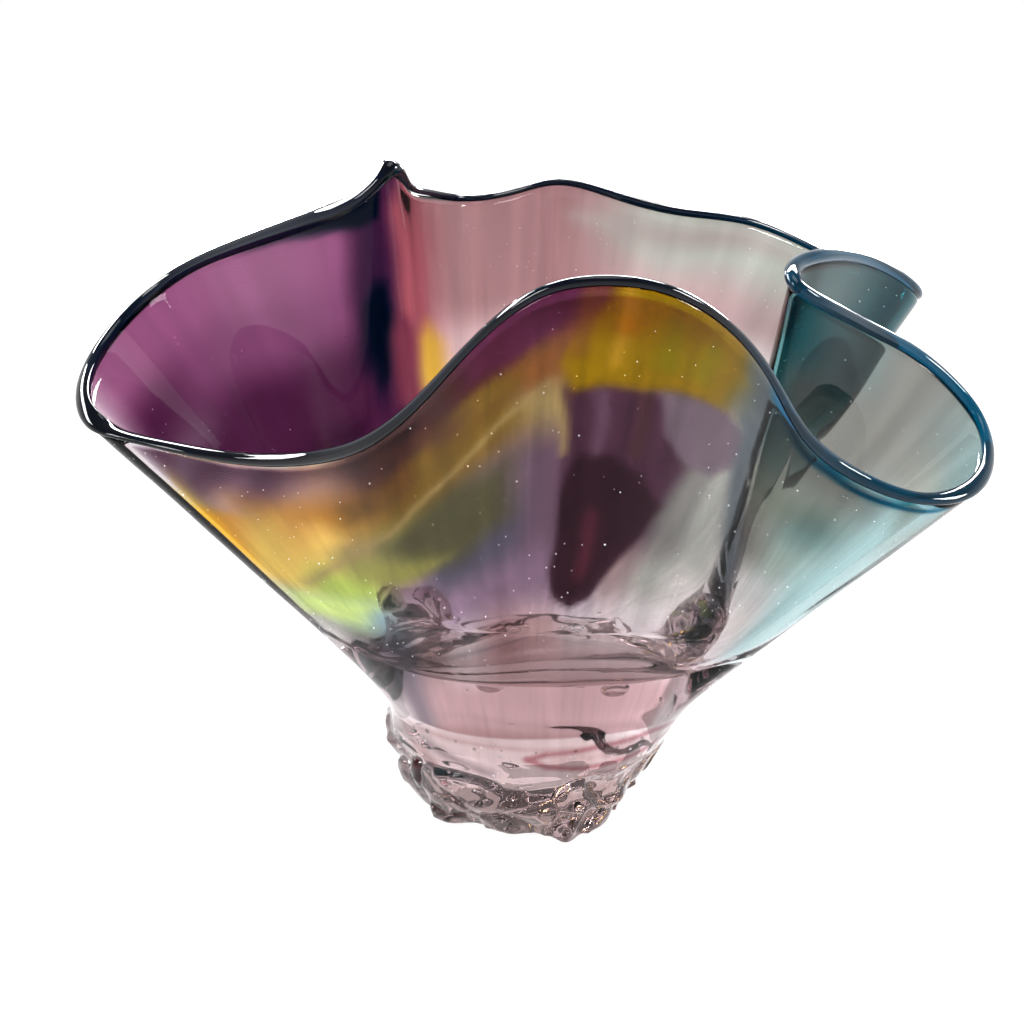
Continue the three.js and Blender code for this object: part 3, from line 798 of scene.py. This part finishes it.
def paint_vessel(vessel, skin, foot_count, wall, points):
    """Store what the glass reads at every point: its tint, roughness and place in the streaks."""
    foot_points = foot_count * COLUMNS
    x = np.degrees(np.arctan2(skin[:foot_points, 1], skin[:foot_points, 0])) * DEGREE_MM
    y = skin[:foot_points, 2] / MM
    base = np.tile(seen("clear"), (foot_points, 1))
    foot_tint = painted(x, y, base, [], FOOT_STROKES, (DEGREE_MM, 1), 360 * DEGREE_MM)
    rise = np.concatenate([np.broadcast_to(r, COLUMNS) for _, r, _ in wall])
    outside = np.concatenate([np.full(COLUMNS, side) for _, _, side in wall])
    place = np.tile(places, len(wall))
    wall_points = skin[foot_points:-2]
    warp = 22 * MM
    x = place * PLACE_MM + 2.5 * ripple(wall_points, warp, 8)
    y = rise * RISE_MM + 2.5 * ripple(wall_points, warp, 9)
    base = wall_fields(x / PLACE_MM, y / RISE_MM)
    wall_tint = painted(x, y, base, WALL_PATCHES, WALL_STROKES, (PLACE_MM, RISE_MM), POINTS * PLACE_MM)
    # The colour is a tint on both skins, and most of it is on the outer one.
    wall_tint = np.where(outside[:, None], wall_tint**1.5, wall_tint**0.5)
    tint = np.ones((len(points), 3))
    tint[:foot_points] = foot_tint
    tint[foot_points : len(skin) - 2] = wall_tint
    store_tint(vessel, tint)
    frost = np.zeros(len(points))
    low = smoothstep(BOTTOM_RISE * 1.1 - rise, 0, BOTTOM_RISE / 2)
    frost[foot_points : len(skin) - 2] = np.where(outside, 0, INNER_FROST * low)
    frost[:foot_points] = CHIP_FROST * (1 - smoothstep(skin[:foot_points, 2] / MM, 17, 22))
    store_value(vessel, "frost", frost)
    turn = np.concatenate([np.tile(places, foot_count), place, [0, 0]]) / POINTS * 2 * math.pi
    climb = np.concatenate([skin[:foot_points, 2] / (120 * MM), rise, [0, 0]])
    grain = np.zeros((len(points), 3))
    grain[: len(skin)] = np.stack([np.cos(turn) * 24, np.sin(turn) * 24, climb * 2], -1)
    store_vector(vessel, "grain", grain)


build_vessel()

# ------------------------------------------------------------------ the lip thread
# Thickness of the thread along the rim, as a share of its full section. It is thick by the left-back
# fold, and thin on the front crest and along the back.
LIP_SHARES = [
    (0, 1.1), (1.5, 1.2), (3, 0.95), (6, 1.05), (8.5, 0.8), (12.6, 0.85), (14.4, 0.55), (17, 0.55),
    (18.4, 0.8), (22, 0.8), (24, 0.9), (27, 0.85), (35, 0.75), (37, 0.5), (41, 0.6), (42, 0.4),
    (45.8, 0.4), (46.6, 0.9),
]
# Colours of the thread along the rim.
LIP_COLOURS = [(0, "midnight"), (17, "midnight"), (19, "lagoon"), (36, "lagoon"), (40, "midnight")]


def build_lip():
    corners = 16
    at, shares = zip(*LIP_SHARES)
    share = sum(
        weight * np.interp((places + offset) % POINTS, at, shares, period=POINTS)
        for offset, weight in zip(*neighbours(0.7))
    )
    centre = wall_middle(places, 1.0)
    out = wall_normal(places, 1.0)
    up = wall_up(places, 1.0)
    rows = []
    for k in range(corners):
        turn = 2 * math.pi * k / corners
        across = out * (LIP_WIDTH / 2) * math.cos(turn)
        along = up * (LIP_HEIGHT / 2) * math.sin(turn)
        rows.append(centre + (across + along) * share[:, None])
    faces = ring_faces(corners, COLUMNS, closed=True)
    at, names = zip(*LIP_COLOURS)
    shades = np.array([seen(name) for name in names])
    along_rim = np.stack([np.interp(places, at, channel, period=POINTS) for channel in shades.T], -1)
    material = glass("lip_glass", None, clearness=LIP_CLEARNESS, gloss=LIP_GLOSS)
    lip = make_object("lip_thread", np.concatenate(rows), faces, material)
    store_tint(lip, light_through(np.tile(along_rim, (corners, 1))))
    store_vector(lip, "grain", np.zeros((corners * COLUMNS, 3)))
    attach(lip, "root")
    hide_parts("lip_wrap")


build_lip()

# Chips of garnet glass in the foot, in millimetres: (angle in degrees, radius, height, half sizes).
# Known faults: the first stands out of the foot, and their middles are 5 to 7 mm from the CAD pieces'.
GARNETS = [
    (211, 39.5, 14, (2.8, 4.0, 5.2)),
    (219, 35.5, 4, (2.0, 2.6, 2.4)),
    (230, 35.5, 5, (1.6, 2.2, 2.0)),
]


def build_garnets():
    material = glass("garnet_glass", light_through(seen("garnet")))
    for number, (degrees, radius, height, sizes) in enumerate(GARNETS, 1):
        a = math.radians(degrees)
        centre = np.array([radius * math.cos(a), radius * math.sin(a), height]) * MM
        points, faces = ball((0, 0, 0), np.array(sizes) * MM, 3)
        points = points * (1 + 0.25 * ripple(points, 2.5 * MM, 10 + number))[:, None]
        turned = np.array([[math.cos(a), -math.sin(a), 0], [math.sin(a), math.cos(a), 0], [0, 0, 1]])
        chip = make_object(f"garnet_{number}", points @ turned.T + centre, faces, material)
        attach(chip, "root")
        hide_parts(f"garnet_chip_{number}")


build_garnets()


# ------------------------------------------------------------------ seed bubbles
WALL_SEEDS = 800
FOOT_SEEDS = 70
# Painted light: the seeds glow although they are no lamp, in place of the light that real seed bubbles catch.
SEED_PAINTED_GLOW = 0.6


def build_seeds():
    """Tiny white balls that glow a little with painted light, in place of seed bubbles, at the outer skin and
    in the foot.

    Known faults: those on the wall are only half a radius under the skin, so most break it. Some lie
    outside the glass, in the tight folds, where the wall is thinner, and beside the uneven foot.
    """
    random = np.random.default_rng(7)
    place = random.uniform(0, POINTS, WALL_SEEDS)
    rise = random.uniform(0.12, 0.95, WALL_SEEDS) ** 0.8
    size = (0.09 + 0.2 * random.uniform(0, 1, WALL_SEEDS) ** 5) * MM
    centres = wall_middle(place, rise) + wall_normal(place, rise) * (WALL / 2 - size * 0.5)[:, None]
    foot_angle = random.uniform(0, 2 * math.pi, FOOT_SEEDS)
    foot_centres = circle(foot_angle, 38 * MM, random.uniform(3, 32, FOOT_SEEDS) * MM)
    foot_centres[:, :2] *= random.uniform(0.85, 1.0, FOOT_SEEDS)[:, None]
    centres = np.vstack([centres, foot_centres])
    size = np.concatenate([size, random.uniform(0.15, 0.45, FOOT_SEEDS) * MM])
    points, faces = joined([ball(c, np.full(3, s), 1) for c, s in zip(centres, size)])
    material = bpy.data.materials.new("seed_bubble")
    material.use_nodes = True
    shader = material.node_tree.nodes["Principled BSDF"]
    shader.inputs["Base Color"].default_value = (0.95, 0.97, 1, 1)
    shader.inputs["Roughness"].default_value = 0.25
    # Painted glow: emission stands in for the light that seed bubbles catch.
    shader.inputs["Emission Color"].default_value = (0.95, 0.97, 1, 1)
    shader.inputs["Emission Strength"].default_value = SEED_PAINTED_GLOW
    seeds = make_object("wall_seeds", points, faces, material)
    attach(seeds, "root")


build_seeds()


# ------------------------------------------------------------------ floor, light and camera
HORIZON = 1.0


def build_stage():
    """A pale floor that gives off light, to show white through the glass, and runs into the horizon."""
    side = 12.0
    depth = -0.2 * MM
    points = [(-side, -side, depth), (side, -side, depth), (side, side, depth), (-side, side, depth)]
    material = bpy.data.materials.new("pale_floor")
    material.use_nodes = True
    nodes, links = material.node_tree.nodes, material.node_tree.links
    shader = nodes["Principled BSDF"]
    shader.inputs["Base Color"].default_value = (0.12, 0.12, 0.12, 1)
    shader.inputs["Roughness"].default_value = 0.8
    shader.inputs["Specular IOR Level"].default_value = 0.1
    shader.inputs["Emission Color"].default_value = (1, 1, 1, 1)
    shader.inputs["Emission Strength"].default_value = 0.93
    far = nodes.new("ShaderNodeEmission")
    far.inputs["Strength"].default_value = HORIZON
    place = nodes.new("ShaderNodeTexCoord")
    away = nodes.new("ShaderNodeVectorMath")
    away.operation = "LENGTH"
    links.new(place.outputs["Object"], away.inputs[0])
    fade = nodes.new("ShaderNodeMapRange")
    fade.interpolation_type = "SMOOTHSTEP"
    fade.inputs["From Min"].default_value = 0.35
    fade.inputs["From Max"].default_value = 1.6
    links.new(away.outputs["Value"], fade.inputs["Value"])
    mix = nodes.new("ShaderNodeMixShader")
    links.new(fade.outputs["Result"], mix.inputs["Fac"])
    links.new(shader.outputs[0], mix.inputs[1])
    links.new(far.outputs[0], mix.inputs[2])
    links.new(mix.outputs[0], nodes["Material Output"].inputs["Surface"])
    floor = make_object("floor", points, [(0, 1, 2, 3)], material, smooth=False)


def build_world():
    """Bright near the horizon, darker overhead, so that the glass has something to show."""
    world = bpy.data.worlds.new("studio")
    world.use_nodes = True
    nodes, links = world.node_tree.nodes, world.node_tree.links
    place = nodes.new("ShaderNodeTexCoord")
    split = nodes.new("ShaderNodeSeparateXYZ")
    links.new(place.outputs["Generated"], split.inputs[0])
    ramp = nodes.new("ShaderNodeMapRange")
    ramp.interpolation_type = "SMOOTHSTEP"
    ramp.inputs["From Min"].default_value = 0.1
    ramp.inputs["From Max"].default_value = 0.6
    ramp.inputs["To Min"].default_value = HORIZON
    ramp.inputs["To Max"].default_value = 0.25
    links.new(split.outputs["Z"], ramp.inputs["Value"])
    links.new(ramp.outputs["Result"], nodes["Background"].inputs["Strength"])
    nodes["Background"].inputs["Color"].default_value = (1, 1, 1, 1)
    bpy.context.scene.world = world


# Soft lights: (name, place, (width, height), power in watts, whether it shows through the glass).
LIGHTS = [
    ("overhead", (0.1, 0.15, 1.6), (0.9, 0.9), 8, False),
    ("back_window", (0.1, 1.3, 1.05), (1.4, 0.3), 65, False),
    ("left_strip", (-1.1, 0.65, 0.85), (1.1, 0.3), 42, False),
    ("left_window", (-1.0, -0.5, 0.85), (0.3, 0.5), 12, True),
    ("right_window", (1.1, 0.1, 0.6), (0.25, 0.4), 14, False),
    ("low_left_window", (-0.45, 1.0, 0.22), (0.25, 0.12), 7, False),
    ("low_right_window", (0.45, 1.0, 0.22), (0.25, 0.12), 7, False),
]


def build_lights():
    for name, place, size, power, through in LIGHTS:
        data = bpy.data.lights.new(name, "AREA")
        data.shape = "RECTANGLE"
        data.size, data.size_y = size
        data.energy = power
        light = bpy.data.objects.new(name, data)
        light.location = place
        light.visible_transmission = through
        aim = Vector((0, 0, 0.1)) - Vector(place)
        light.rotation_euler = aim.to_track_quat("-Z", "Y").to_euler()
        bpy.context.scene.collection.objects.link(light)


def build_camera():
    """Perspective view from the front, 21.5 degrees above level."""
    sensor_width = 36
    focal_length = 77.34375
    distance = 0.62
    pitch = math.radians(21.5)
    target = Vector((-0.008, 0, 0.085))
    data = bpy.data.cameras.new("camera")
    data.sensor_width = sensor_width
    data.lens = focal_length
    camera = bpy.data.objects.new("camera", data)
    back = Vector((0, -math.cos(pitch), math.sin(pitch)))
    camera.location = target + back * distance
    camera.rotation_euler = (-back).to_track_quat("-Z", "Y").to_euler()
    bpy.context.scene.collection.objects.link(camera)
    bpy.context.scene.camera = camera


def set_look():
    scene = bpy.context.scene
    scene.view_settings.view_transform = "Standard"
    scene.cycles.max_bounces = 24
    scene.cycles.transmission_bounces = 24
    scene.cycles.glossy_bounces = 12


build_stage()
build_world()
build_lights()
build_camera()
set_look()
